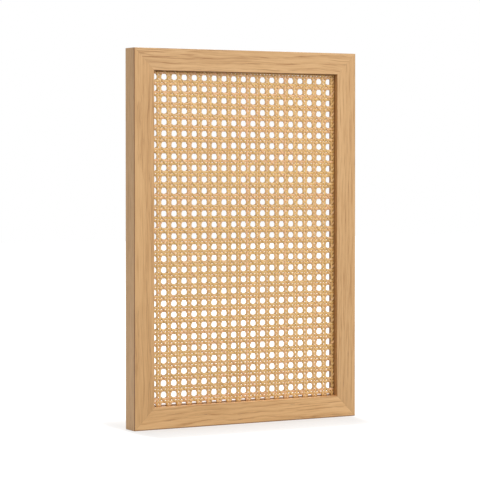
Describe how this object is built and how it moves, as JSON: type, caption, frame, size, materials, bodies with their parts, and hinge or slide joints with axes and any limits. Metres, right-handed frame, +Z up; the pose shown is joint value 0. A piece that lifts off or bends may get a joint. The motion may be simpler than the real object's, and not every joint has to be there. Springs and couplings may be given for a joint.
{
  "type": "cane divider panel",
  "caption": "Low free-standing divider panel: mitred oak frame around open octagon-mesh cane webbing, which pinned stop beads hold in a rebate behind a front lip.",
  "frame": {"origin": "middle of the bottom edge, at mid thickness, where the panel stands on the floor", "axes": "+Z up along the stiles, +X to the right along the rails seen from the front, front facing -Y"},
  "size_m": [0.36, 0.0286, 0.532],
  "materials": {
    "oak": "satin clear lacquer over straight-grained oak",
    "cane": "natural rattan cane, glossy skin outwards",
    "beech": "plain turned beech",
    "pin_steel": "bright wire"
  },
  "bodies": {
    "root": {"left_stile": "oak", "right_stile": "oak", "top_rail": "oak", "bottom_rail": "oak", "left_bead": "oak", "right_bead": "oak", "top_bead": "oak", "bottom_bead": "oak", "cane_upright_strands": "cane", "cane_crosswise_strands": "cane", "cane_rising_diagonals": "cane", "cane_falling_diagonals": "cane", "bottom_left_front_dowel": "beech", "bottom_left_back_dowel": "beech", "bottom_right_front_dowel": "beech", "bottom_right_back_dowel": "beech", "top_right_front_dowel": "beech", "top_right_back_dowel": "beech", "top_left_front_dowel": "beech", "top_left_back_dowel": "beech", "left_bead_pins": "pin_steel", "right_bead_pins": "pin_steel", "top_bead_pins": "pin_steel", "bottom_bead_pins": "pin_steel"}
  },
  "joints": []
}
